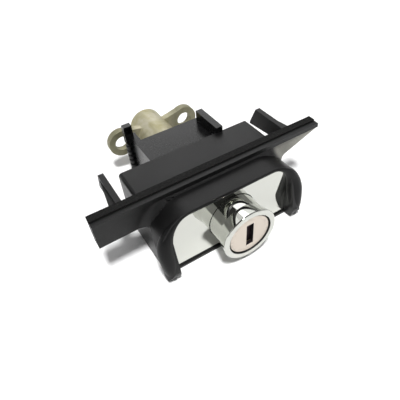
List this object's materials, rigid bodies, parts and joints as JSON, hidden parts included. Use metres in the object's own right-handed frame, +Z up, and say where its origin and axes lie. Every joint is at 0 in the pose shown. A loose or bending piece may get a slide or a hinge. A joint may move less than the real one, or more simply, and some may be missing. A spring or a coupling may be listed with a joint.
{
  "type": "trunk lock cylinder",
  "caption": "Push-button boot lid lock: key cylinder in a chromed nose under a hooded black bezel, with a gasketed flange bar and a die-cast rear housing with bolt ears.",
  "frame": {"origin": "Where the lock axis crosses the panel's outer face, which is the rear face of the flange gasket.", "axes": "+X runs along the flange bar to the right as seen from the front, +Y runs along the lock axis to the rear, into the panel, and +Z is up."},
  "size_m": [0.082, 0.0783, 0.0265],
  "materials": {
    "black_plastic": "moulded black plastic, fine satin grain",
    "foam_rubber": "rough black foam rubber",
    "chrome_plate": "bright chrome plate",
    "bright_steel": "turned and zinc-plated steel",
    "spring_steel": "drawn spring wire",
    "passivated_zinc": "die-cast zinc, dull yellow passivation",
    "plug_brass": "machined brass",
    "satin_cap": null,
    "shutter_steel": "blackened steel flap"
  },
  "bodies": {
    "housing": {"bezel": "black_plastic", "flange_gasket": "foam_rubber", "escutcheon": "chrome_plate", "guide_carrier": "black_plastic", "carrier_screws": "bright_steel", "lock_body": "passivated_zinc", "body_pin": "bright_steel", "rear_cap": "bright_steel", "nose_seal": "foam_rubber", "return_spring": "spring_steel"},
    "button": {"nose_shell": "chrome_plate", "barrel": "passivated_zinc", "guide_key": "bright_steel"},
    "plug": {"key_plug": "plug_brass", "plug_face": "satin_cap", "wafers": "plug_brass", "wafer_springs": "spring_steel", "plug_clip": "spring_steel", "tail_shaft": "bright_steel", "tail_cam": "bright_steel", "cam_screw": "bright_steel", "shutter_pin": "bright_steel", "shutter_spring": "spring_steel"},
    "shutter": {"dust_shutter": "shutter_steel"}
  },
  "joints": [
    {"name": "button_push", "type": "slide", "parent": "housing", "child": "button", "axis": [0, 1, 0], "range_m": [0, 0.005], "stiffness_N_per_m": 800, "springref_m": -0.006, "deforming": ["return_spring"]},
    {"name": "key_turn", "type": "hinge", "parent": "button", "child": "plug", "pos_m": [0, 0, 0], "axis": [0, 1, 0], "range_deg": [0, 90]},
    {"name": "shutter_swing", "type": "hinge", "parent": "plug", "child": "shutter", "pos_m": [0.0028, -0.0187, 0], "axis": [0, 0, -1], "range_deg": [0, 75], "stiffness_Nm_per_rad": 0.0006, "springref_deg": -57.3}
  ]
}
